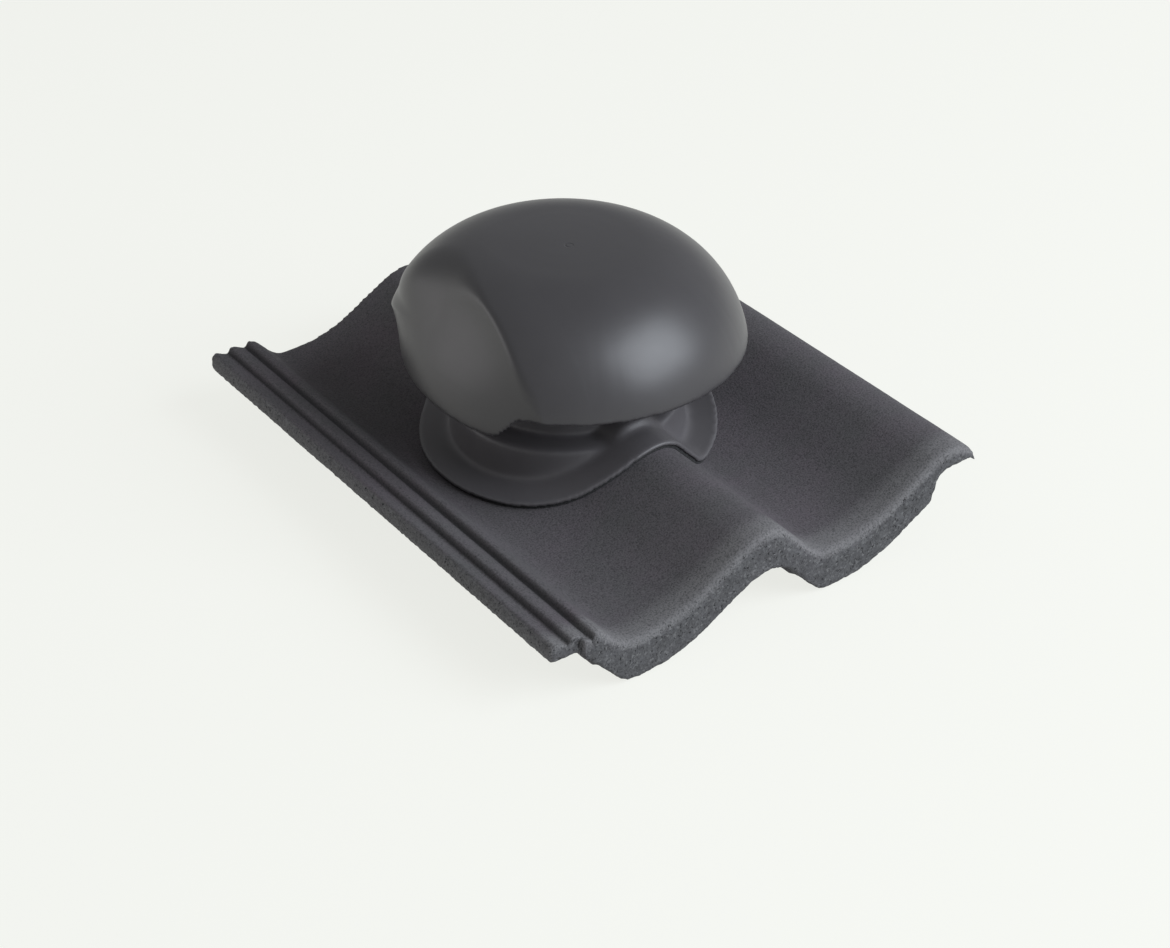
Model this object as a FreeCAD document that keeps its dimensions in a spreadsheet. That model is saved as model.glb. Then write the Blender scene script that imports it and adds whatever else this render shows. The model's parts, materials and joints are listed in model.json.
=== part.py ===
import FreeCAD
import Part
import math
import os
from FreeCAD import Vector

# Roof tile vent: a concrete double-wave roof tile with a hooded pipe outlet through its middle.
# Frame: +X across the tile, from its underlap to its overlap, +Y up the slope, +Z out of the roof.
# Z = 0 is the plane that the nose and the hanging nibs rest on. Heights named *_height are above the
# bottom of the tile's troughs, which lie nose_depth above that plane. Millimetres and degrees.
DIMENSIONS = {
    # Tile
    "tile_length": 420,
    "tile_width": 330,
    "first_trough": 63,
    "wave_height": 34,
    "rise_angle": 29.4,
    "fall_angle": 48,
    "heel_radius": 18,
    "trough_flat": 3.7,
    "crest_radius_up": 39,
    "crest_radius_down": 22,
    "body_thickness": 13,
    "nose_depth": 29,
    "nose_length": 18,
    "nose_round": 7,
    # Side laps
    "lap_height": 18.5,
    "lap_thickness": 13,
    "lap_edge_chamfer": 3,
    "lap_setback": 5,
    "rib_first": 4,
    "rib_pitch": 14,
    "rib_width": 3,
    "groove_depth": 4,
    "groove_flank": 3,
    "lip_width": 19.2,
    "lip_tip_drop": 5,
    "lip_tip_width": 6,
    # Hanging nibs and the weather lugs behind the nose
    "nib_width": 40,
    "nib_length": 20,
    "nib_inset": 14,
    "lug_width": 14,
    "lug_length": 16,
    "lug_height": 19,
    # Vent base
    "vent_offset": -6,
    "vent_upslope": 3.5,
    "seal_thickness": 1.8,
    "seal_width": 28,
    "flange_radius": 100,
    "flange_thickness": 3.2,
    "neck_radius": 79,
    "neck_draft": 4,
    "neck_wall": 3,
    "shelf_height": 33,
    "saddle_rise": 11,
    "saddle_radius": 22,
    "socket_radius": 55.5,
    "socket_wall": 3,
    "socket_bottom": 4,
    "socket_height": 98,
    "hole_clearance": 4,
    # Retaining ring
    "ring_radius": 78,
    "ring_thickness": 4,
    "ring_fit": 0.2,
    "hub_wall": 3,
    "hub_bottom": 6,
    # Hood
    "hood_turn": -4.4,
    "hood_lean": 2.9,
    "hood_height": 145,
    "hood_radius": 119.5,
    "hood_wall": 3,
    "crown_radius": 550,
    "shoulder_radius": 81,
    "skirt_angle": 79,
    "rim_height": 79.5,
    "rim_half_width": 79,
    "cheek_height": 58,
    "cheek_corner": 89.5,
    "cheek_crease": 73,
    "cheek_reach": 102,
    "cheek_bow": 165,
    "runout_start": 10,
    "runout_length": 62,
    "runout_rise": 20,
    "crease_round": 8,
    "step_round": 9,
    "fin_thickness": 2.5,
    "fin_setback": 1,
    "fin_outer": 80,
    "fin_lap": 12,
    "fin_fit": 0.3,
}

doc = FreeCAD.newDocument("roof_tile_vent")
sheet = doc.addObject("Spreadsheet::Sheet", "dims")
for row, (alias, value) in enumerate(DIMENSIONS.items(), start=1):
    sheet.set(f"A{row}", alias)
    sheet.set(f"B{row}", str(value))
    sheet.setAlias(f"B{row}", alias)
doc.recompute()


def size(alias):
    return float(sheet.get(alias))


def add(kind, name, links, **expressions):
    """Adds an object, sets its plain properties and binds its sizes to the sheet."""
    item = doc.addObject(kind, name)
    for key, value in links.items():
        setattr(item, key, value)
    for key, expression in expressions.items():
        item.setExpression(key.replace("_", "."), expression)
    return item


def cut(name, base, tool):
    return add("Part::Cut", name, {"Base": base, "Tool": tool, "Refine": True})


def fuse(name, *shapes):
    return add("Part::MultiFuse", name, {"Shapes": list(shapes), "Refine": True})


def common(name, *shapes):
    return add("Part::MultiCommon", name, {"Shapes": list(shapes), "Refine": True})


def cylinder(name, radius, bottom, height, on_vent=True):
    """An upright cylinder on the vent's axis, or on its own axis for what is placed later."""
    item = add("Part::Cylinder", name, {}, Radius=radius, Height=height, Placement_Base_z=bottom)
    if on_vent:
        item.setExpression("Placement.Base.x", "dims.vent_offset")
        item.setExpression("Placement.Base.y", "dims.vent_upslope")
    return item


class Pen:
    """Draws a chain of lines and tangent arcs in the upright XZ plane."""

    def __init__(self, x, z, heading=0.0):
        self.x = x
        self.z = z
        self.heading = heading
        self.edges = []

    def point(self):
        return Vector(self.x, 0, self.z)

    def line_to(self, x, z):
        start = self.point()
        self.x = x
        self.z = z
        self.edges.append(Part.LineSegment(start, self.point()).toShape())

    def forward(self, length):
        angle = math.radians(self.heading)
        self.line_to(self.x + length * math.cos(angle), self.z + length * math.sin(angle))

    def turn(self, radius, angle):
        """An arc tangent to the heading. A positive angle turns upwards."""
        start = self.point()
        side = math.copysign(radius, angle)
        heading = math.radians(self.heading)
        centre = start + Vector(-side * math.sin(heading), 0, side * math.cos(heading))

        def on_arc(share):
            here = math.radians(self.heading + share * angle)
            return centre + Vector(side * math.sin(here), 0, -side * math.cos(here))

        middle = on_arc(0.5)
        end = on_arc(1.0)
        self.edges.append(Part.Arc(start, middle, end).toShape())
        self.x = end.x
        self.z = end.z
        self.heading += angle


def joined(first, second):
    """A line between two points of the XZ plane."""
    return Part.LineSegment(first, second).toShape()


def outline(name, edges, y_place):
    """A flat face inside a chain of edges, at its place along the tile."""
    item = doc.addObject("Part::Feature", name)
    item.Shape = Part.Face(Part.Wire(Part.__sortEdges__(edges)))
    item.setExpression("Placement.Base.y", y_place)
    return item


def extrude(name, base, length):
    links = {"Base": base, "DirMode": "Custom", "Dir": Vector(0, 1, 0), "Solid": True}
    return add("Part::Extrusion", name, links, LengthFwd=length)


def revolve(name, base):
    links = {"Source": base, "Axis": Vector(0, 0, 1), "Angle": 360, "Solid": True}
    return add("Part::Revolution", name, links)


# The wave of the tile: from a crest the surface falls steeply to a heel and a short flat, then climbs
# gently through the trough to the next crest. Straight flanks join the arcs without a corner, and the
# trough's radius follows from the width that the tile leaves for its two climbs.
RISE = size("rise_angle")
FALL = size("fall_angle")
SIN_RISE = math.sin(math.radians(RISE))
SIN_FALL = math.sin(math.radians(FALL))
COS_RISE = math.cos(math.radians(RISE))
COS_FALL = math.cos(math.radians(FALL))
TROUGH_Z = size("nose_depth")
CREST_Z = TROUGH_Z + size("wave_height")
TROUGH_FLAT = size("trough_flat")
FALL_ARCS = size("heel_radius") + size("crest_radius_down")
FALL_LINE = (size("wave_height") - FALL_ARCS * (1 - COS_FALL)) / SIN_FALL
FALL_RUN = FALL_ARCS * SIN_FALL + FALL_LINE * COS_FALL
RISE_RUN = (size("tile_width") - size("first_trough") - FALL_RUN - TROUGH_FLAT - size("lip_width")) / 2
RISE_ARCS = (RISE_RUN - size("wave_height") * COS_RISE / SIN_RISE) / math.tan(math.radians(RISE / 2))
RISE_LINE = (size("wave_height") - RISE_ARCS * (1 - COS_RISE)) / SIN_RISE
TROUGH_RADIUS = RISE_ARCS - size("crest_radius_up")
WAVE_PITCH = FALL_RUN + TROUGH_FLAT + RISE_RUN

LEFT_X = -size("tile_width") / 2
RIGHT_X = size("tile_width") / 2
CREST_X = LEFT_X + size("first_trough") + RISE_RUN
HEEL_X = CREST_X + FALL_RUN - WAVE_PITCH - size("heel_radius") * SIN_FALL
HEEL_Z = TROUGH_Z + size("heel_radius") * (1 - COS_FALL)
FLANGE_FRONT = "dims.vent_upslope - dims.flange_radius"


def descend(pen, offset):
    pen.turn(size("crest_radius_down") + offset, -FALL)
    pen.forward(FALL_LINE)


def climb(pen, offset):
    pen.turn(size("heel_radius") - offset, FALL)
    pen.forward(TROUGH_FLAT)
    pen.turn(TROUGH_RADIUS - offset, RISE)
    pen.forward(RISE_LINE)


def top_out(pen, offset):
    pen.turn(size("crest_radius_up") + offset, -RISE)


def wave(offset):
    """Two whole waves at a distance above the tile, or below it where that is negative."""
    pen = Pen(CREST_X - WAVE_PITCH, CREST_Z + offset)
    for period in range(2):
        descend(pen, offset)
        climb(pen, offset)
        top_out(pen, offset)
    return pen


def pan_line(start_z, offset, drop=0.0):
    """The two waves that the tile has, from a height on its first steep flank to the end of its last
    gentle one, just before the crest."""
    heel_z = HEEL_Z + offset * COS_FALL - drop
    heel_x = HEEL_X + offset * SIN_FALL
    flank = (start_z - heel_z) / SIN_FALL
    pen = Pen(heel_x - flank * COS_FALL, start_z, -FALL)
    pen.forward(flank)
    climb(pen, offset)
    top_out(pen, offset)
    descend(pen, offset)
    climb(pen, offset)
    return pen


def start_of(pen):
    return pen.edges[0].firstVertex().Point


def wave_band(name, low, high):
    """A sheet that follows the wave, between two distances from the tile's top surface."""
    under = wave(low)
    over = wave(high)
    ends = [joined(start_of(under), start_of(over)), joined(under.point(), over.point())]
    face = outline(f"{name}_outline", under.edges + over.edges + ends, FLANGE_FRONT)
    return extrude(name, face, "2 * dims.flange_radius")


def wave_bed(name, offset):
    """Everything from the resting plane up to a distance from the tile's top surface."""
    over = wave(offset)
    first = start_of(over)
    pen = Pen(first.x, first.z)
    pen.line_to(first.x, 0)
    pen.line_to(over.x, 0)
    pen.line_to(over.x, over.z)
    face = outline(f"{name}_outline", over.edges + pen.edges, FLANGE_FRONT)
    return extrude(name, face, "2 * dims.flange_radius")


# Concrete tile
LAP_TOP = TROUGH_Z + size("lap_height")
LAP_FLOOR = LAP_TOP - size("lap_thickness")
THICKNESS = size("body_thickness")
ROUND_LIMIT = 0.95
SAME_PLACE = 0.01


def add_lip(pen):
    """Over the last crest and the overlap lip and back under it, to the crest's underside."""
    top_out(pen, 0)
    pen.turn(size("crest_radius_down"), -FALL)
    to_edge = RIGHT_X - pen.x
    pen.line_to(RIGHT_X, pen.z - to_edge * SIN_FALL / COS_FALL)
    under_z = CREST_Z - THICKNESS
    pen.line_to(RIGHT_X, under_z - size("lip_tip_drop"))
    pen.line_to(RIGHT_X - size("lip_tip_width"), under_z)
    pen.line_to(CREST_X + WAVE_PITCH, under_z)


def lip_tip_height():
    pen = pan_line(LAP_TOP, 0)
    add_lip(pen)
    tip = pen.edges[-3]
    return tip.Length


def underlap_edges():
    top = pan_line(LAP_TOP, 0)
    under = pan_line(LAP_FLOOR, -THICKNESS)
    chamfer = size("lap_edge_chamfer")
    half_rib = size("rib_width") / 2
    flank = size("groove_flank")
    pen = Pen(LEFT_X, LAP_FLOOR)
    pen.line_to(LEFT_X, LAP_TOP - chamfer)
    for rib in range(2):
        centre = LEFT_X + size("rib_first") + rib * size("rib_pitch")
        pen.line_to(centre - half_rib, LAP_TOP)
        pen.line_to(centre + half_rib, LAP_TOP)
        pen.line_to(centre + size("rib_pitch") - half_rib - flank, LAP_TOP - size("groove_depth"))
    last_rib = LEFT_X + size("rib_first") + 2 * size("rib_pitch")
    pen.line_to(last_rib - half_rib, LAP_TOP)
    pen.line_to(start_of(top).x, LAP_TOP)
    pen.line_to(start_of(under).x, LAP_FLOOR)
    pen.line_to(LEFT_X, LAP_FLOOR)
    return pen.edges


def pan_edges():
    top = pan_line(LAP_TOP, 0)
    add_lip(top)
    under = pan_line(LAP_FLOOR, -THICKNESS)
    top_out(under, -THICKNESS)
    return top.edges + under.edges + [joined(start_of(top), start_of(under))]


def nose_edges():
    """The thick front edge: its underside is the wave of the top, set down by the nose depth. It ends
    under the last crest, where it goes up to the underside of the pan."""
    top = pan_line(LAP_TOP, 0)
    add_lip(top)
    under = pan_line(LAP_FLOOR, 0, size("nose_depth"))
    pan_under = pan_line(LAP_FLOOR, -THICKNESS)
    ends = [joined(start_of(top), start_of(under)), joined(under.point(), pan_under.point())]
    top_out(pan_under, -THICKNESS)
    return top.edges + under.edges + ends + pan_under.edges[-1:]


def make_tile():
    front = "-dims.tile_length / 2"
    underlap_face = outline("underlap_outline", underlap_edges(), f"{front} + dims.lap_setback")
    underlap = extrude("underlap", underlap_face, "dims.tile_length - dims.lap_setback")
    pan = extrude("pan", outline("pan_outline", pan_edges(), f"{front} + dims.nose_round"),
                  "dims.tile_length - dims.nose_round")
    nose = extrude("nose", outline("nose_outline", nose_edges(), front), "dims.nose_length")
    doc.recompute()
    rounded = add("Part::Fillet", "rounded_nose", {"Base": nose})
    nose_round = min(size("nose_round"), ROUND_LIMIT * lip_tip_height())
    rounded.Edges = [(number, nose_round, nose_round) for number in nose_top_edges(nose)]
    pieces = [underlap, pan, rounded]
    for place in range(2):
        trough = LEFT_X + size("first_trough") + place * WAVE_PITCH
        nib = add("Part::Box", f"nib_{place + 1}", {}, Width="dims.nib_length", Length="dims.nib_width",
                  Height="dims.nose_depth - dims.body_thickness / 2",
                  Placement_Base_y="dims.tile_length / 2 - dims.nib_inset - dims.nib_length")
        nib.setExpression("Placement.Base.x", f"{trough} - dims.nib_width / 2")
        pieces.append(nib)
        heel = HEEL_X + place * WAVE_PITCH
        lug = add("Part::Box", f"lug_{place + 1}", {}, Width="dims.lug_length + dims.nose_length / 2",
                  Length="dims.lug_width", Height="dims.lug_height",
                  Placement_Base_y="-dims.tile_length / 2 + dims.nose_length / 2")
        lug.setExpression("Placement.Base.x", f"{heel} - dims.lug_width")
        lug.setExpression("Placement.Base.z", f"{HEEL_Z} - dims.lug_height")
        pieces.append(lug)
    casting = fuse("casting", *pieces)
    hole = cylinder("pipe_hole", "dims.socket_radius + dims.socket_wall + dims.hole_clearance",
                    "0", "dims.nose_depth + 2 * dims.wave_height")
    return cut("tile", casting, hole)


def nose_top_edges(nose):
    """The numbers of the nose's front edges along its top surface."""
    top = pan_line(LAP_TOP, 0)
    top_out(top, 0)
    top.turn(size("crest_radius_down"), -FALL)
    front_y = -size("tile_length") / 2
    middles = [edge.valueAt((edge.FirstParameter + edge.LastParameter) / 2) for edge in top.edges]
    middles = [Vector(point.x, front_y, point.z) for point in middles]
    numbers = []
    for number, edge in enumerate(nose.Shape.Edges, start=1):
        middle = edge.valueAt((edge.FirstParameter + edge.LastParameter) / 2)
        if any(middle.distanceToPoint(point) < SAME_PLACE for point in middles):
            numbers.append(number)
    return numbers


# Vent base and what holds it to the tile
SOCKET_OUTER = "(dims.socket_radius + dims.socket_wall)"
SEAL_TOP = size("seal_thickness")
FLANGE_TOP = SEAL_TOP + size("flange_thickness")


def neck_cone(name, inset, top):
    """The drafted neck from the resting plane up to a height, as much smaller as its inset."""
    draft = "tan(dims.neck_draft)"
    at_pan = f"(dims.neck_radius - {inset})"
    return add("Part::Cone", name, {}, Radius1=f"{at_pan} + dims.nose_depth * {draft}",
               Radius2=f"{at_pan} + (dims.nose_depth - ({top})) * {draft}", Height=top,
               Placement_Base_x="dims.vent_offset", Placement_Base_y="dims.vent_upslope")


def neck_block(name, inset):
    """The neck as a block: flat at the shelf, with a round saddle where the tile's roll passes."""
    low = neck_cone(f"{name}_low", inset, f"dims.nose_depth + dims.shelf_height - {inset}")
    saddle_top = "dims.nose_depth + dims.wave_height + dims.saddle_rise"
    tall = neck_cone(f"{name}_tall", inset, saddle_top)
    saddle = add("Part::Cylinder", f"{name}_saddle", {}, Radius=f"dims.saddle_radius - {inset}",
                 Height="2 * dims.flange_radius")
    along_roll = FreeCAD.Rotation(Vector(1, 0, 0), -90)
    saddle.Placement = FreeCAD.Placement(Vector(CREST_X, 0, 0), along_roll)
    saddle.setExpression("Placement.Base.y", FLANGE_FRONT)
    saddle.setExpression("Placement.Base.z", f"{saddle_top} - dims.saddle_radius")
    return fuse(name, low, common(f"{name}_hump", tall, saddle))


def make_base():
    disc = cylinder("flange_disc", "dims.flange_radius", "0", "dims.nose_depth + 2 * dims.wave_height")
    flange = common("flange", wave_band("flange_band", SEAL_TOP, FLANGE_TOP), disc)
    neck = cut("neck", neck_block("neck_outer", "0"), wave_bed("below_flange", SEAL_TOP))
    block = fuse("flange_and_neck", flange, neck)
    shell = cut("base_shell", block, neck_block("neck_inner", "dims.neck_wall"))
    rise = "dims.nose_depth + dims.socket_height - dims.socket_bottom"
    socket = cylinder("socket_tube", SOCKET_OUTER, "dims.socket_bottom", rise)
    bore = cylinder("socket_bore", "dims.socket_radius", "0", f"{rise} + 2 * dims.socket_bottom")
    return cut("base", fuse("shell_and_socket", shell, socket), bore)


def make_seal():
    ring = cut("seal_ring", cylinder("seal_disc", "dims.flange_radius - dims.seal_thickness", "0",
                                     "dims.nose_depth + 2 * dims.wave_height"),
               cylinder("seal_eye", "dims.flange_radius - dims.seal_width", "0",
                        "dims.nose_depth + 2 * dims.wave_height"))
    return common("seal", wave_band("seal_band", 0, SEAL_TOP), ring)


def make_ring():
    under = -THICKNESS
    disc = cylinder("ring_disc", "dims.ring_radius", "0", "dims.nose_depth + dims.wave_height")
    plate = common("ring_plate", wave_band("ring_band", under - size("ring_thickness"), under), disc)
    hub_tube = cylinder("hub_tube", f"{SOCKET_OUTER} + dims.ring_fit + dims.hub_wall", "dims.hub_bottom",
                        "dims.nose_depth + dims.wave_height")
    hub = common("hub", hub_tube, wave_bed("hub_bed", under))
    eye = cylinder("ring_eye", f"{SOCKET_OUTER} + dims.ring_fit", "0",
                   "dims.nose_depth + 2 * dims.wave_height")
    return cut("retaining", fuse("plate_and_hub", plate, hub), eye)


# Hood, drawn on its own axis and then set on the vent's axis with its turn
CROWN = size("crown_radius")
SHOULDER = size("shoulder_radius")
SKIRT_ANGLE = math.radians(size("skirt_angle"))
SHOULDER_X = size("hood_radius") - SHOULDER * math.sin(SKIRT_ANGLE)
CROWN_ANGLE = math.asin(SHOULDER_X / (CROWN - SHOULDER))
APEX_Z = TROUGH_Z + size("hood_height")
CHEEK_Z = TROUGH_Z + size("cheek_height")
SCOOP_LEVELS = 6
SCOOP_STATIONS = 12
SKIRT_END_Z = CHEEK_Z - size("hood_wall") - size("hood_radius") * math.sin(math.radians(size("hood_lean")))


def dome(name, inset):
    """The dome with its skirt, set in from the outer surface by a distance and leaning a little."""
    pen = Pen(0, APEX_Z - inset)
    crown_turn = math.degrees(CROWN_ANGLE)
    pen.turn(CROWN - inset, -crown_turn)
    pen.turn(SHOULDER - inset, crown_turn - size("skirt_angle"))
    pen.line_to(pen.x, SKIRT_END_Z)
    pen.line_to(0, SKIRT_END_Z)
    pen.line_to(0, APEX_Z - inset)
    item = revolve(name, outline(f"{name}_outline", pen.edges, "0"))
    lean = FreeCAD.Rotation(Vector(0, 1, 0), size("hood_lean"))
    item.Placement = FreeCAD.Placement(Vector(0, 0, 0), lean, Vector(0, 0, TROUGH_Z + size("rim_height")))
    return item


def cheek_tool(name, inset):
    """What the scooped cheek takes off the dome. It is steep at its crease, opens out over the middle
    and turns down again at the rim, which is bowed along its length. The crease runs out at the back."""
    rows = []
    for level in range(SCOOP_LEVELS + 1):
        share = level / SCOOP_LEVELS
        sweep = share * share * (3 - 2 * share)
        z = APEX_Z + (CHEEK_Z - APEX_Z) * share
        row = []
        for station in range(SCOOP_STATIONS + 1):
            along = size("hood_radius") * (2 * station / SCOOP_STATIONS - 1)
            bow = size("cheek_bow") - math.sqrt(size("cheek_bow") ** 2 - along ** 2)
            past = max(0, along - size("runout_start")) / size("runout_length")
            crease = size("cheek_crease") + size("runout_rise") * past ** 2 - inset
            rim = size("cheek_reach") - bow - inset
            row.append(Vector(-crease - (rim - crease) * sweep, along, z))
        rows.append(row)
    surface = Part.BSplineSurface()
    surface.interpolate(rows)
    item = doc.addObject("Part::Feature", name)
    item.Shape = surface.toShape().extrude(Vector(-2 * size("hood_radius"), 0, 0))
    return item


def crease_edges(shape):
    """The number of the long edge where the scoop leaves the dome."""
    numbers = []
    for number, edge in enumerate(shape.Edges, start=1):
        box = edge.BoundBox
        long_enough = box.YLength > size("hood_radius") > 2 * box.XLength
        if long_enough and box.ZMax > TROUGH_Z + size("rim_height"):
            numbers.append(number)
    return numbers


def rim_tool():
    """What is taken off the skirt: level at the cheek, then a rounded step up to the rest of the rim,
    which leans as the dome does."""
    step = size("rim_height") - size("cheek_height")
    setback = size("cheek_corner") - size("rim_half_width")
    slope = math.degrees(math.atan2(step, setback))
    tangent = size("step_round") * math.tan(math.radians(slope / 2))
    below = 2 * SKIRT_END_Z - CHEEK_Z
    far = 2 * size("hood_radius")
    pen = Pen(-far, below)
    pen.line_to(-far, CHEEK_Z)
    pen.line_to(-size("cheek_corner") - tangent, CHEEK_Z)
    pen.turn(size("step_round"), slope)
    pen.forward(math.hypot(step, setback) - 2 * tangent)
    pen.turn(size("step_round"), -slope - size("hood_lean"))
    pen.forward(2 * far)
    pen.line_to(pen.x, below)
    pen.line_to(-far, below)
    face = outline("rim_outline", pen.edges, "-2 * dims.hood_radius")
    return extrude("rim_tool", face, "4 * dims.hood_radius")


def make_fins():
    """Four radial fins under the crown, which stand on the socket's top edge and lap its outside."""
    bottom = TROUGH_Z + size("socket_height") - size("fin_lap")
    plates = []
    for turn in (45, 135):
        plate = add("Part::Box", f"fin_plate_{turn}", {}, Length="2 * dims.fin_outer",
                    Width="dims.fin_thickness", Height="dims.hood_height")
        corner = Vector(-size("fin_outer"), -size("fin_thickness") / 2, bottom)
        spin = FreeCAD.Rotation(Vector(0, 0, 1), turn)
        plate.Placement = FreeCAD.Placement(spin.multVec(corner), spin)
        plates.append(plate)
    cross = fuse("fin_cross", *plates)
    under_crown = common("fins_under_crown", cross, dome("fin_dome", size("hood_wall") / 2))
    socket_top = "dims.nose_depth + dims.socket_height"
    seat = cylinder("fin_seat", f"{SOCKET_OUTER} + dims.fin_fit", "0", socket_top, False)
    eye = cylinder("fin_eye", "dims.socket_radius + dims.fin_setback", "0",
                   "dims.nose_depth + dims.hood_height", False)
    return cut("fins", cut("fins_open", under_crown, eye), seat)


def make_hood():
    wall = size("hood_wall")
    outer = cut("hood_outer", dome("outer_dome", 0), cheek_tool("outer_scoop", 0))
    inner = cut("hood_inner", dome("inner_dome", wall), cheek_tool("inner_scoop", wall))
    doc.recompute()
    rounded = add("Part::Fillet", "hood_rounded", {"Base": outer})
    crease_round = size("crease_round")
    rounded.Edges = [(number, crease_round, crease_round) for number in crease_edges(outer.Shape)]
    trimmed = cut("hood_trimmed", cut("hood_shell", rounded, inner), rim_tool())
    hood = fuse("hood", trimmed, make_fins())
    turn = FreeCAD.Rotation(Vector(0, 0, 1), size("hood_turn"))
    hood.Placement = FreeCAD.Placement(Vector(0, 0, 0), turn)
    hood.setExpression("Placement.Base.x", "dims.vent_offset")
    hood.setExpression("Placement.Base.y", "dims.vent_upslope")
    return hood


tile = make_tile()
seal = make_seal()
base = make_base()
retaining = make_ring()
hood = make_hood()
doc.recompute()

SUB_PARTS = {
    "concrete_tile": tile,
    "flange_seal": seal,
    "vent_base": base,
    "retaining_ring": retaining,
    "vent_hood": hood,
}

failed = [item.Name for item in doc.Objects if "Invalid" in item.State or "Error" in item.State]
for label, item in SUB_PARTS.items():
    item.Label = label
    if item.Shape.isNull() or not item.Shape.isValid():
        failed.append(label)
if failed:
    raise SystemExit(f"these did not build: {failed}")

os.makedirs("parts", exist_ok=True)
for label, item in SUB_PARTS.items():
    item.Shape.exportStep(f"parts/{label}.step")
    print(label, "solids", len(item.Shape.Solids), "volume", round(item.Shape.Volume / 1000, 1), "cm3")
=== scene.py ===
import json
import math

import bmesh
import bpy
from mathutils import Matrix, Vector, noise

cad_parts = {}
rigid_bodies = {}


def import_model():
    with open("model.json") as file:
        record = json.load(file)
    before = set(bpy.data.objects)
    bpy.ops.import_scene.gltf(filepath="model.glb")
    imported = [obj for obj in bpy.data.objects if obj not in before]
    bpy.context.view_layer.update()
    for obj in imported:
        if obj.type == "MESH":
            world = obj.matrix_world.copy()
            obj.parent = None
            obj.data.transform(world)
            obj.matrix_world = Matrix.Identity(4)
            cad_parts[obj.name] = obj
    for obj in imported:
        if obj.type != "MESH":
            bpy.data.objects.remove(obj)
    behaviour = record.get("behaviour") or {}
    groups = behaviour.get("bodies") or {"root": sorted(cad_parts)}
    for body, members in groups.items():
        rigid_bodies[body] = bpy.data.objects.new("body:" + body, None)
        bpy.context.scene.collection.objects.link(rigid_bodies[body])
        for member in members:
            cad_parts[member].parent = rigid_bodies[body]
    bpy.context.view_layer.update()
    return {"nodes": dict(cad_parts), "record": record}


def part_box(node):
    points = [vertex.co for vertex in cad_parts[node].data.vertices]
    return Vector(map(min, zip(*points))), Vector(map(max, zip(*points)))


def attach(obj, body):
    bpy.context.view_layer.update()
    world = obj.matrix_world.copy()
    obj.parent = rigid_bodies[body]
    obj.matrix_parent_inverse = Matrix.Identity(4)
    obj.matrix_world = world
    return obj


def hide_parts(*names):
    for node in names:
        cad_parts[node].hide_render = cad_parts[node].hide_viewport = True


for leftover in list(bpy.data.objects):  # the startup scene's own things
    bpy.data.objects.remove(leftover)

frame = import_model()
mm = 0.001
mounts = {mount["name"]: mount for mount in frame["record"]["mounts"]}
socketPlace = Vector(mounts["pipe_socket"]["pos_m"])  # the vent's upright axis goes through it
print("frame loaded:", sorted(frame["nodes"]))


# Shader building
class Value:  # a socket that sums and products can be written with
    def __init__(self, look, socket):
        self.look = look
        self.socket = socket

    def __add__(self, other):
        return self.look.math("ADD", self, other)

    def __sub__(self, other):
        return self.look.math("SUBTRACT", self, other)

    def __rsub__(self, other):
        return self.look.math("SUBTRACT", other, self)

    def __mul__(self, other):
        return self.look.math("MULTIPLY", self, other)

    __radd__ = __add__
    __rmul__ = __mul__


class Look:  # the nodes of one material, or of the world
    def __init__(self, owner):
        owner.use_nodes = True
        self.owner = owner
        self.tree = owner.node_tree
        self.shader = self.tree.nodes.get("Principled BSDF")
        self.coordinates = None

    def node(self, kind, settings, sockets, output=0):
        made = self.tree.nodes.new(kind)
        for key, setting in settings.items():
            if key == "stops":
                self.setStops(made.color_ramp, setting)
            else:
                setattr(made, key, setting)
        for key, entry in sockets.items():
            self.feed(made.inputs[key], entry)
        return Value(self, made.outputs[output])

    def feed(self, socket, entry):  # a link, or a fixed setting
        if isinstance(entry, Value):
            self.tree.links.new(entry.socket, socket)
        else:
            socket.default_value = entry

    def setStops(self, ramp, stops):
        while len(ramp.elements) < len(stops):
            ramp.elements.new(1.0)
        for element, (spot, tone) in zip(ramp.elements, stops):
            element.position = spot
            element.color = (tone, tone, tone, 1)

    def place(self):  # Object coordinates, from one node for the whole look
        if not self.coordinates:
            self.coordinates = self.node("ShaderNodeTexCoord", {}, {}, "Object")
        return self.coordinates

    def math(self, operation, *values):
        return self.node("ShaderNodeMath", {"operation": operation}, dict(enumerate(values)))

    def limit(self, value):
        return self.node("ShaderNodeClamp", {}, {"Value": value})

    def ramp(self, value, stops):
        return self.node("ShaderNodeValToRGB", {"stops": stops}, {"Fac": value})

    def cloud(self, size, detail, roughness):  # noise with lumps of about this size
        sockets = {"Vector": self.place(), "Scale": 1 / size, "Detail": detail, "Roughness": roughness}
        return self.node("ShaderNodeTexNoise", {"noise_dimensions": "3D"}, sockets, "Fac")

    def cells(self, size, output="Distance"):
        sockets = {"Vector": self.place(), "Scale": 1 / size}
        return self.node("ShaderNodeTexVoronoi", {"voronoi_dimensions": "3D"}, sockets, output)

    def painted(self, name):  # a number kept on the mesh
        return self.node("ShaderNodeAttribute", {"attribute_name": name}, {}, "Fac")

    def mix(self, share, low, high):
        colours = {0: share, 6: low, 7: high}
        return self.node("ShaderNodeMix", {"data_type": "RGBA", "clamp_factor": True}, colours, 2)

    def bump(self, height, depth, strength):
        return self.node("ShaderNodeBump", {}, {"Height": height, "Distance": depth, "Strength": strength})

    def finish(self, **entries):
        for key, entry in entries.items():
            self.feed(self.shader.inputs[key.replace("_", " ")], entry)
        return self.owner


def newLook(name):
    return Look(bpy.data.materials.new(name))


# Mesh helpers
weldGap = 0.001 * mm


def copyOf(node):  # a solid's triangles, merged into one skin
    shape = bmesh.new()
    shape.from_mesh(frame["nodes"][node].data)
    bmesh.ops.remove_doubles(shape, verts=shape.verts, dist=weldGap)
    return shape


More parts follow.
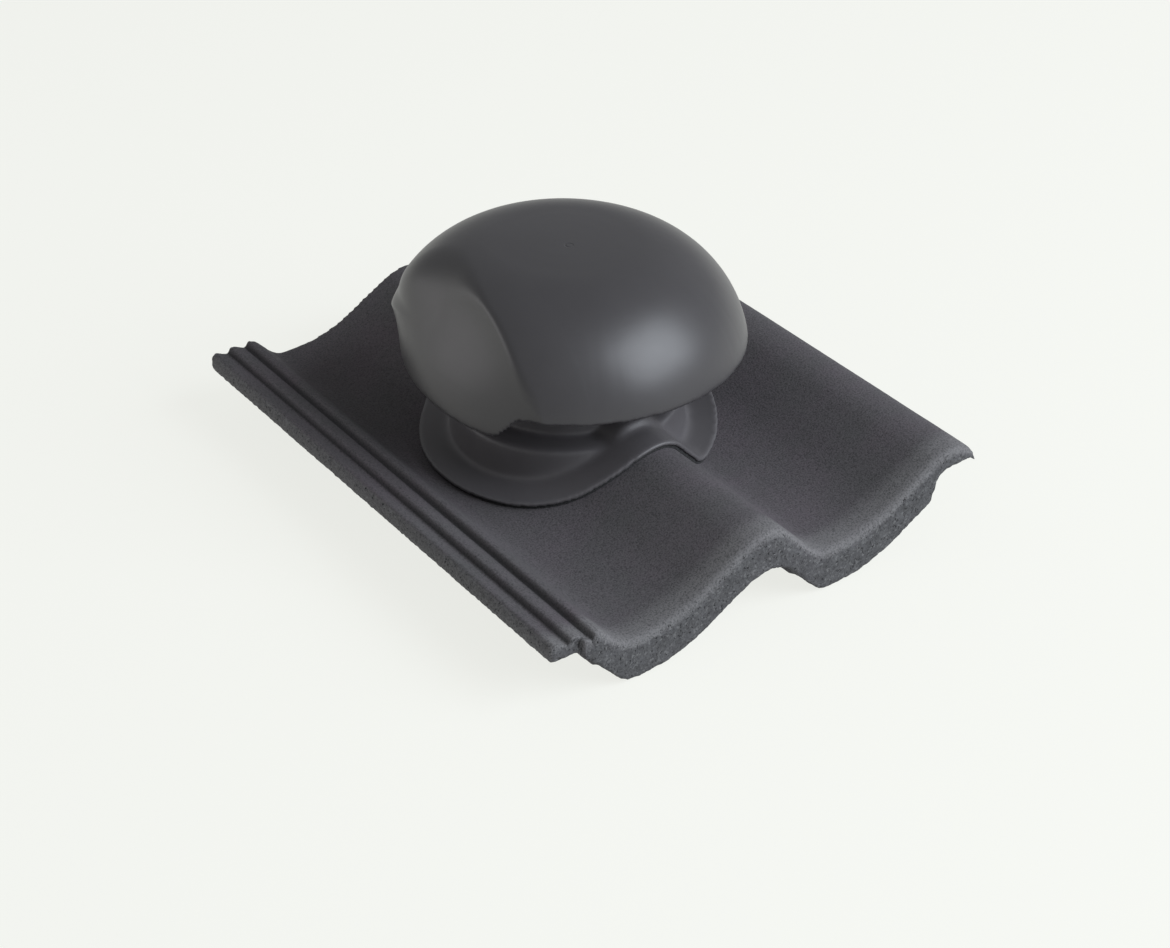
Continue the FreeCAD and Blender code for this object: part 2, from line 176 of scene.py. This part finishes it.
def newPiece(shape, name):
    mesh = bpy.data.meshes.new(name)
    shape.to_mesh(mesh)
    shape.free()
    item = bpy.data.objects.new(name, mesh)
    bpy.context.scene.collection.objects.link(item)
    return item


def bakeModifiers(item):
    skin = bpy.data.meshes.new_from_object(item.evaluated_get(bpy.context.evaluated_depsgraph_get()))
    item.modifiers.clear()
    item.data = skin


def evenSkin(node, name, cell):  # a solid's form in small squares that lie on it
    item = newPiece(copyOf(node), name)
    remesh = item.modifiers.new("evenSkin", "REMESH")
    remesh.mode = "VOXEL"
    remesh.voxel_size = cell
    remesh.adaptivity = 0
    wrap = item.modifiers.new("onSolid", "SHRINKWRAP")
    wrap.target = frame["nodes"][node]
    wrap.wrap_method = "NEAREST_SURFACEPOINT"
    bakeModifiers(item)
    shape = bmesh.new()
    shape.from_mesh(item.data)
    return item, shape


def thin(item, places, share):  # fewer faces, taken out at the given verts
    item.vertex_groups.new(name="thinned").add(places, 1.0, "REPLACE")
    fewer = item.modifiers.new("fewer", "DECIMATE")
    fewer.ratio = share
    fewer.vertex_group = "thinned"
    bakeModifiers(item)
    item.vertex_groups.clear()


def relax(shape, verts, rounds):
    everyWay = {"use_axis_x": True, "use_axis_y": True, "use_axis_z": True}
    for turn in range(rounds):
        bmesh.ops.smooth_vert(shape, verts=verts, factor=0.5, **everyWay)
    shape.normal_update()


def split(shape, faces, cuts):  # smaller squares; each edge once, in a steady order
    edges = list(dict.fromkeys(edge for face in faces for edge in face.edges))
    bmesh.ops.subdivide_edges(shape, edges=edges, cuts=cuts, use_grid_fill=True)
    shape.normal_update()


def ease(value, low, high):  # 0 below low, 1 above high, smooth between
    share = min(max((value - low) / (high - low), 0), 1)
    return share * share * (3 - 2 * share)


def lumps(place, size):  # soft noise from 0 to 1
    return 0.5 + 0.5 * noise.noise(place / size)


def dress(item, material, node):
    item.data.materials.clear()
    item.data.materials.append(material)
    for face in item.data.polygons:
        face.use_smooth = True
    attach(item, "root")
    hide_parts(node)
    print(item.name, "made,", len(item.data.polygons), "faces")


def finishNode(node, material):  # a solid that shows as it is
    slots = frame["nodes"][node].data.materials
    slots.clear()
    slots.append(material)
    print(node, "finished")


# Concrete tile. Slopes are parts of a face's normal, fades are distances from an edge of the tile.
tile = {
    "cell": 2.4 * mm,
    "softRounds": 3,
    "fineFrom": 0.3,  # rawness from which the squares are split
    "fineCuts": 1,
    "waver": 0.25 * mm,
    "waverSize": 35 * mm,
    "grain": 0.12 * mm,
    "grainSize": 5 * mm,
    "rawGrain": 0.9 * mm,
    "rawGrainSize": 4 * mm,
    "rawOctaves": 3,
    "pitSize": 4 * mm,
    "pitDepth": 0.9 * mm,
    "pitReach": 0.42,  # of its size
    "pitStride": 7.3,  # spreads the draw for each pit
    "pitDraw": 0.1,  # draws from -1 to 1: a pit is open above this
    "noseFade": (16 * mm, 20.8 * mm),
    "lapFade": (4 * mm, 6 * mm),
    "lipFade": (-4 * mm, -1.2 * mm),
    "frontSlopes": (0.55, 0.85),
    "underSlopes": (0.2, 0.6),
    "rearSlopes": (0.5, 0.8),
    "sideSlopes": (0.3, 0.6),
    "lipSlopes": (0.6, 0.9),
    "bandFade": (11 * mm, 27 * mm),
    "bandWaver": 3 * mm,
    "bandSlopes": (0.1, 0.5),
    "lapSlopes": (0.2, 0.5),
    "lapTop": 47.5 * mm,
    "ribs": [4 * mm, 18 * mm, 32 * mm],
    "ribHalf": 1.5 * mm,
    "flank": 3 * mm,
    "grooveDepth": 4 * mm,
    "grooveSlope": 0.3,
    "face": (0.087, 0.084, 0.086, 1),
    "mauve": (0.102, 0.089, 0.099, 1),
    "pale": (0.180, 0.178, 0.178, 1),
    # painted light: the pale tone of the underlap's lit side and of the nose's top, which is partly wear
    "band": (0.172, 0.168, 0.169, 1),
    "rawFace": (0.056, 0.056, 0.058, 1),
    "rawPale": (0.082, 0.082, 0.085, 1),
    "pitAndShadeTone": (0.012, 0.012, 0.013, 1),
    "mottleSize": 60 * mm,
    "blotchSize": 9 * mm,
    "sandSize": 1.2 * mm,
    "sandDark": 0.7,
    "gritSize": 1.6 * mm,
    "voidSize": 1.8 * mm,
    # share of painted shade on the grooves' steep sides
    "grooveShade": 0.8,
    "bumpDepth": 0.45 * mm,
    "bumpStrength": 0.6,
    "gloss": 0.35,
}


def nearLap(place, low):  # 1 on the underlap's outer edge
    return 1 - ease(place.x - low.x, *tile["lapFade"])


def rawShare(place, normal, low, high):  # 1 where the casting is cut or broken, 0 on its moulded face
    nearNose = 1 - ease(place.y - low.y, *tile["noseFade"])
    front = ease(-normal.y, *tile["frontSlopes"]) * nearNose
    underNose = ease(-normal.z, *tile["underSlopes"]) * nearNose
    rear = ease(normal.y, *tile["rearSlopes"])
    side = ease(-normal.x, *tile["sideSlopes"]) * nearLap(place, low)
    lip = ease(normal.x, *tile["lipSlopes"]) * ease(place.x - high.x, *tile["lipFade"])
    return max(front, underNose, rear, side, lip)


def bandShare(place, normal, low):  # 1 where light is painted on: the underlap's side, painted lighter as if lit, and the nose's rounded top, paler partly from wear and partly from painted highlight
    fromNose = place.y - low.y + tile["bandWaver"] * noise.noise(place / tile["waverSize"])
    noseTop = (1 - ease(fromNose, *tile["bandFade"])) * ease(normal.z, *tile["bandSlopes"])
    lapSide = ease(-normal.x, *tile["lapSlopes"]) * nearLap(place, low)
    return max(noseTop, lapSide)


def inGrooves(place, normal, low):
    return tile["ribs"][0] < place.x - low.x < tile["ribs"][-1] and normal.z > tile["grooveSlope"]


def grooveDrop(across):  # how far the underlap lies below its ribs, and how much painted shade its steep side gets there
    after = next(rib for rib in tile["ribs"] if rib >= across)
    before = tile["ribs"][tile["ribs"].index(after) - 1] + tile["ribHalf"]
    bottom = after - tile["ribHalf"] - tile["flank"]
    down = (across - before) / (bottom - before)
    up = (after - tile["ribHalf"] - across) / tile["flank"]
    drop = max(min(down, up), 0)
    return tile["grooveDepth"] * drop, drop if up < down else 0


def skinDepth(place, share):  # how far the casting's skin lies below its plain form
    depth = tile["waver"] * lumps(place, tile["waverSize"])
    depth += tile["grain"] * lumps(place, tile["grainSize"])
    if share > 0:
        rough = 0.5 + 0.5 * noise.fractal(place / tile["rawGrainSize"], 1.0, 2.0, tile["rawOctaves"])
        distances, points = noise.voronoi(place / tile["pitSize"])
        drawn = noise.cell(points[0] * tile["pitStride"]) > tile["pitDraw"]
        pit = (1 - ease(distances[0], 0, tile["pitReach"])) * drawn
        depth += share * (tile["rawGrain"] * rough + tile["pitDepth"] * pit)
    return depth


def makeTile(material):
    item, shape = evenSkin("concrete_tile", "tileCasting", tile["cell"])
    relax(shape, shape.verts, tile["softRounds"])
    low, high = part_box("concrete_tile")
    fine = []
    for face in shape.faces:
        place = face.calc_center_median()
        isRaw = rawShare(place, face.normal, low, high) > tile["fineFrom"]
        if isRaw or inGrooves(place, face.normal, low):
            fine.append(face)
    split(shape, fine, tile["fineCuts"])
    raw = shape.verts.layers.float.new("raw")
    # painted light on the underlap's side, and painted highlight with wear on the nose's top
    band = shape.verts.layers.float.new("band")
    # painted shade: how dark each groove's steep side is painted
    crease = shape.verts.layers.float.new("crease")
    moves = []
    grooves = []
    for vert in shape.verts:
        vert[raw] = rawShare(vert.co, vert.normal, low, high)
        if inGrooves(vert.co, vert.normal, low):
            drop, vert[crease] = grooveDrop(vert.co.x - low.x)
            vert.co.z = tile["lapTop"] - drop
            grooves.append(vert)
        vert[band] = bandShare(vert.co, vert.normal, low)
        moves.append(vert.normal * skinDepth(vert.co, vert[raw]))
    for vert, move in zip(shape.verts, moves):
        vert.co -= move
    relax(shape, grooves, 1)
    shape.to_mesh(item.data)
    shape.free()
    dress(item, material, "concrete_tile")


def concreteLook():
    look = newLook("concrete")
    raw = look.painted("raw")
    band = look.painted("band")
    mottle = look.cloud(tile["mottleSize"], 4, 0.6)
    blotch = look.cloud(tile["blotchSize"], 3, 0.55)
    sand = look.cloud(tile["sandSize"], 3, 0.7)
    grit = look.cells(tile["gritSize"])
    gritTone = look.node("ShaderNodeSeparateColor", {}, {0: look.cells(tile["gritSize"], "Color")})
    voids = look.cloud(tile["voidSize"], 2, 0.6)
    colour = look.mix(look.ramp(mottle, [(0.35, 0), (0.65, 1)]), tile["face"], tile["mauve"])
    colour = look.mix(look.ramp(blotch, [(0.45, 0), (0.75, 0.35)]), colour, tile["face"])
    rawTone = look.mix(look.ramp(blotch, [(0.3, 0), (0.7, 1)]), tile["rawFace"], tile["rawPale"])
    # painted light: the underlap's side and the nose's top are made paler, the nose partly by wear
    colour = look.mix(band * (0.5 + blotch * 0.5), colour, tile["band"])
    # the raw tone gives way where light is painted on
    colour = look.mix(raw * (0.85 - band * 0.6), colour, rawTone)
    paleGrit = look.ramp(gritTone, [(0.78, 0), (0.95, 1)])
    colour = look.mix(paleGrit * (0.10 + raw * 0.30), colour, tile["pale"])
    darkSand = look.ramp(sand, [(0.30, 1), (0.55, 0)])
    colour = look.mix(darkSand * tile["sandDark"], colour, tile["pitAndShadeTone"])
    pitted = look.ramp(voids, [(0.30, 1), (0.40, 0)]) * raw
    colour = look.mix(pitted, colour, tile["pitAndShadeTone"])
    # painted shade down the grooves' steep sides, darkest at their foot
    colour = look.mix(look.painted("crease") * tile["grooveShade"], colour, tile["pitAndShadeTone"])
    height = sand * 0.6 + (1 - grit) * 0.4 - pitted * 2
    rough = look.limit(0.80 + sand * 0.16)
    normal = look.bump(height, tile["bumpDepth"], tile["bumpStrength"])
    return look.finish(Base_Color=colour, Roughness=rough, Normal=normal, Specular_IOR_Level=tile["gloss"])


# Moulded plastic
plastic = {
    "driftSize": 45 * mm,
    "scuffSize": 6 * mm,
    "grainDepth": 0.02 * mm,
    "grainStrength": 0.5,
}


def satinLook(name, piece):
    look = newLook(name)
    drift = look.cloud(plastic["driftSize"], 3, 0.5)
    grain = look.cloud(piece["grainSize"], 2, 0.6)
    scuff = look.cloud(plastic["scuffSize"], 4, 0.7)
    tone = look.mix(look.ramp(drift, [(0.35, 0), (0.7, 1)]), piece["colour"], piece["flow"])
    rough = look.limit(piece["roughness"] + drift * 0.04 + scuff * 0.05 + grain * 0.05)
    normal = look.bump(grain, plastic["grainDepth"], plastic["grainStrength"])
    return look.finish(Base_Color=tone, Roughness=rough, Normal=normal, Specular_IOR_Level=piece["gloss"])


# Hood: a leaning dome with a flatter crown, cut by the scooped cheek
hood = {
    "cell": 1.28 * mm,
    "softRounds": 6,
    "keptShare": 0.74,  # of all faces; those taken out lie inside
    "axis": Vector((socketPlace.x, socketPlace.y, 0)),
    "turn": math.radians(-4.4),
    "lean": math.radians(2.9),
    "leanHeight": 108.5 * mm,
    "apex": 174 * mm,
    "crown": 550 * mm,
    "shoulder": 81 * mm,
    "shoulderReach": 39.99 * mm,
    "wall": 3 * mm,
    "cheekLow": 87 * mm,
    "crease": 73 * mm,
    "reach": 102 * mm,
    "bow": 165 * mm,
    "runoutStart": 10 * mm,
    "runoutLength": 62 * mm,
    "runoutRise": 20 * mm,
    "blendFront": 3 * mm,
    "blendBack": 20 * mm,
    "blendFade": (-40 * mm, 45 * mm),
    "blendRight": -45 * mm,
    "blendHeights": (110 * mm, 126 * mm),
    "blendLeast": 0.05,
    "blendDepth": 12 * mm,
    "blendRounds": 3,
    "gate": Vector((-7.2, -6.4)) * mm,
    "gateRing": 2.4 * mm,
    "gateWidth": 0.9 * mm,
    "gateDepth": 0.35 * mm,
    "gateCuts": 3,
    "crownSlope": 0.8,
    "colour": (0.0435, 0.0410, 0.0430, 1),
    "flow": (0.0475, 0.0450, 0.0470, 1),
    "roughness": 0.31,
    "grainSize": 0.5 * mm,
    "gloss": 0.43,
}


def pastDome(place):  # how far a place lies outside the dome
    below = hood["apex"] - hood["crown"]
    tilt = math.asin(hood["shoulderReach"] / (hood["crown"] - hood["shoulder"]))
    shoulderZ = below + (hood["crown"] - hood["shoulder"]) * math.cos(tilt)
    up = place.z - hood["leanHeight"]
    x = place.x * math.cos(hood["lean"]) - up * math.sin(hood["lean"])
    z = place.x * math.sin(hood["lean"]) + up * math.cos(hood["lean"]) + hood["leanHeight"]
    radius = math.hypot(x, place.y)
    if radius < (z - below) * math.tan(tilt):
        return math.hypot(radius, z - below) - hood["crown"]
    return math.hypot(radius - hood["shoulderReach"], max(z - shoulderZ, 0)) - hood["shoulder"]


def scoopAt(along, z):  # how far out the cheek's face lies
    share = ease(hood["apex"] - z, 0, hood["apex"] - hood["cheekLow"])
    past = max(0, along - hood["runoutStart"]) / hood["runoutLength"]
    crease = hood["crease"] + hood["runoutRise"] * past ** 2
    rim = hood["reach"] - hood["bow"] + math.sqrt(hood["bow"] ** 2 - along ** 2)
    return crease + (rim - crease) * share


def pastScoop(place):  # how far a place lies outside the cheek
    step = 0.5 * mm
    here = scoopAt(place.y, place.z)
    slopeY = (scoopAt(place.y + step, place.z) - here) / step
    slopeZ = (scoopAt(place.y, place.z + step) - here) / step
    return (-place.x - here) / math.sqrt(1 + slopeY ** 2 + slopeZ ** 2)


def pastBoth(place):  # dome and cheek joined by a round that grows towards the back
    back = ease(place.y, *hood["blendFade"])
    width = hood["blendFront"] + (hood["blendBack"] - hood["blendFront"]) * back
    width *= hood["blendLeast"] + (1 - hood["blendLeast"]) * ease(place.z, *hood["blendHeights"])
    dome = pastDome(place)
    scoop = pastScoop(place)
    near = max(width - abs(dome - scoop), 0) / width
    return max(dome, scoop) + near * near * width / 4


def blendCrease(shape):  # the cheek's crease melts into the dome at the back
    turned = Matrix.Rotation(hood["turn"], 3, "Z")
    straight = turned.inverted()
    step = 0.1 * mm
    sides = [Vector((step, 0, 0)), Vector((0, step, 0)), Vector((0, 0, step))]
    for vert in shape.verts:
        place = straight @ (vert.co - hood["axis"])
        depth = -max(pastDome(place), pastScoop(place))
        isLow = place.z < hood["blendHeights"][0]
        if isLow or place.x > hood["blendRight"] or depth > hood["blendDepth"]:
            continue
        target = 0 if depth < hood["wall"] / 2 else -depth  # the inner skin keeps its depth
        for turn in range(hood["blendRounds"]):
            here = pastBoth(place)
            slope = Vector([(pastBoth(place + side) - here) / step for side in sides])
            place = place - slope * ((here - target) / slope.length_squared)
        vert.co = turned @ place + hood["axis"]
    shape.normal_update()


def markGate(shape):  # the sunk ring that the mould's inlet left on the crown
    reach = 2 * hood["gateRing"]
    near = [face for face in shape.faces if face.normal.z > hood["crownSlope"]
            and (face.calc_center_median().xy - hood["gate"]).length < reach]
    split(shape, near, hood["gateCuts"])
    for vert in shape.verts:
        away = (vert.co.xy - hood["gate"]).length
        if vert.normal.z > hood["crownSlope"] and away < reach:
            vert.co.z -= hood["gateDepth"] * (1 - ease(abs(away - hood["gateRing"]), 0, hood["gateWidth"]))
    shape.normal_update()


def makeHood(material):
    item, shape = evenSkin("vent_hood", "hoodShell", hood["cell"])
    relax(shape, shape.verts, hood["softRounds"])
    blendCrease(shape)
    markGate(shape)
    shape.verts.index_update()
    middle = hood["axis"] + Vector((0, 0, hood["cheekLow"]))
    inside = [vert.index for vert in shape.verts
              if vert.co.z > hood["blendHeights"][0] and vert.normal.dot(vert.co - middle) < 0]
    shape.to_mesh(item.data)
    shape.free()
    thin(item, inside, hood["keptShare"])
    dress(item, material, "vent_hood")


# Base: flange, neck, shelf and socket
base = {
    "cell": 1.4 * mm,
    "softRounds": 5,
    "neckRounds": 16,
    "neckInner": 66 * mm,
    "neckOuter": 93 * mm,
    "colour": (0.079, 0.074, 0.078, 1),
    "flow": (0.089, 0.084, 0.088, 1),
    "roughness": 0.42,
    "grainSize": 0.6 * mm,
    "gloss": 0.45,
}


def makeBase(material):
    item, shape = evenSkin("vent_base", "baseShell", base["cell"])
    relax(shape, shape.verts, base["softRounds"])
    neck = [vert for vert in shape.verts
            if base["neckInner"] < (vert.co - socketPlace).xy.length < base["neckOuter"]]
    relax(shape, neck, base["neckRounds"])
    shape.to_mesh(item.data)
    shape.free()
    dress(item, material, "vent_base")


# Ring under the tile, of the base's plastic
ring = {
    "colour": base["colour"],
    "flow": base["flow"],
    "roughness": 0.4,
    "grainSize": 0.6 * mm,
    "gloss": 0.5,
}


# Foam seal
foam = {
    "bubbleSize": 1.2 * mm,
    "bubbleDepth": 0.4 * mm,
    "bubbleStrength": 0.6,
    "deep": (0.008, 0.008, 0.008, 1),
    "skin": (0.022, 0.022, 0.023, 1),
    "roughness": 0.9,
}


def foamLook():
    look = newLook("sealFoam")
    bubbles = look.cells(foam["bubbleSize"])
    tone = look.mix(look.ramp(bubbles, [(0.1, 0), (0.6, 1)]), foam["deep"], foam["skin"])
    normal = look.bump(bubbles, foam["bubbleDepth"], foam["bubbleStrength"])
    return look.finish(Base_Color=tone, Roughness=foam["roughness"], Normal=normal)


makeTile(concreteLook())
makeHood(satinLook("hoodPlastic", hood))
makeBase(satinLook("basePlastic", base))
finishNode("flange_seal", foamLook())
finishNode("retaining_ring", satinLook("ringPlastic", ring))


# Studio, in metres
studio = {
    "floorHalf": 6.0,
    "floorDrop": 0.1 * mm,
    "floorColour": (0.88, 0.885, 0.84, 1),
    "floorRoughness": 0.9,
    "floorGloss": 0.1,
    "glowColour": (0.925, 0.935, 0.890, 1),
    "glowShare": 0.85,
    "worldColour": (0.97, 0.985, 1.0, 1),
    "worldStrength": 0.30,
    "worldSeen": 0.42,
    "aim": Vector((-0.006, 0.0, 0.09)),
}
lamps = {
    "keyBox": {"toward": (0.46, -0.69, 0.54), "distance": 3.2, "width": 2.5, "height": 2.2, "watts": 145,
               "colour": (0.87, 0.925, 1.0)},
    "sideBox": {"toward": (-0.80, 0.59, 0.10), "distance": 1.3, "width": 0.8, "height": 0.14, "watts": 1.75,
                "colour": (1.0, 0.98, 1.0)},
}
view = {  # as the photograph was taken; angles in radians
    "azimuth": 0.60015,
    "elevation": 0.59621,
    "roll": -0.03145,
    "distance": 1.6381,
    "aim": Vector((-0.02819, -0.04694, 0.029)),
    "focalPixels": 2515.08,
    "imageWidth": 1170,
    "sensor": 36.0,
}


def seenShare(look):  # 1 where the camera, a gloss or a clear body sees the studio itself
    rays = ["Is Camera Ray", "Is Glossy Ray", "Is Transmission Ray"]
    camera, glossy, clear = [look.node("ShaderNodeLightPath", {}, {}, ray) for ray in rays]
    return look.limit(camera + glossy + clear)


def makeFloor():
    shape = bmesh.new()
    bmesh.ops.create_grid(shape, x_segments=2, y_segments=2, size=studio["floorHalf"])
    bmesh.ops.translate(shape, verts=shape.verts, vec=(0, 0, -studio["floorDrop"]))
    floor = newPiece(shape, "floor")
    look = newLook("floorPaper")
    look.finish(Base_Color=studio["floorColour"], Roughness=studio["floorRoughness"],
                Specular_IOR_Level=studio["floorGloss"])
    share = seenShare(look) * studio["glowShare"]
    glow = look.node("ShaderNodeEmission", {}, {"Color": studio["glowColour"], "Strength": 1.0})
    paper = Value(look, look.shader.outputs[0])
    blend = look.node("ShaderNodeMixShader", {}, {0: share, 1: paper, 2: glow})
    look.feed(look.tree.nodes["Material Output"].inputs["Surface"], blend)
    floor.data.materials.append(look.owner)


def makeLamp(name, spec):
    lamp = bpy.data.lights.new(name, "AREA")
    lamp.shape = "RECTANGLE"
    lamp.size = spec["width"]
    lamp.size_y = spec["height"]
    lamp.energy = spec["watts"]
    lamp.color = spec["colour"]
    item = bpy.data.objects.new(name, lamp)
    bpy.context.scene.collection.objects.link(item)
    toward = Vector(spec["toward"]).normalized()
    item.location = studio["aim"] + toward * spec["distance"]
    item.rotation_euler = (-toward).to_track_quat("-Z", "Y").to_euler()


def makeCamera():
    bearing, height, roll = view["azimuth"], view["elevation"], view["roll"]
    ahead = Vector((math.sin(bearing) * math.cos(height),
                    math.cos(bearing) * math.cos(height),
                    -math.sin(height)))
    level = Vector((math.cos(bearing), -math.sin(bearing), 0))
    upright = level.cross(ahead)
    across = level * math.cos(roll) + upright * math.sin(roll)
    upward = upright * math.cos(roll) - level * math.sin(roll)
    camera = bpy.data.cameras.new("camera")
    camera.sensor_width = view["sensor"]
    camera.lens = view["focalPixels"] / view["imageWidth"] * view["sensor"]
    item = bpy.data.objects.new("camera", camera)
    bpy.context.scene.collection.objects.link(item)
    turn = Matrix((across, upward, -ahead)).transposed().to_4x4()
    item.matrix_world = Matrix.Translation(view["aim"] - ahead * view["distance"]) @ turn
    bpy.context.scene.camera = item


def makeWorld():
    world = bpy.data.worlds.new("studioAir")
    look = Look(world)
    strength = studio["worldStrength"] + seenShare(look) * (studio["worldSeen"] - studio["worldStrength"])
    background = look.tree.nodes["Background"]
    look.feed(background.inputs["Color"], studio["worldColour"])
    look.feed(background.inputs["Strength"], strength)
    bpy.context.scene.world = world


makeFloor()
for name, spec in lamps.items():
    makeLamp(name, spec)
makeCamera()
makeWorld()
bpy.context.scene.view_settings.view_transform = "Standard"
print("studio set")
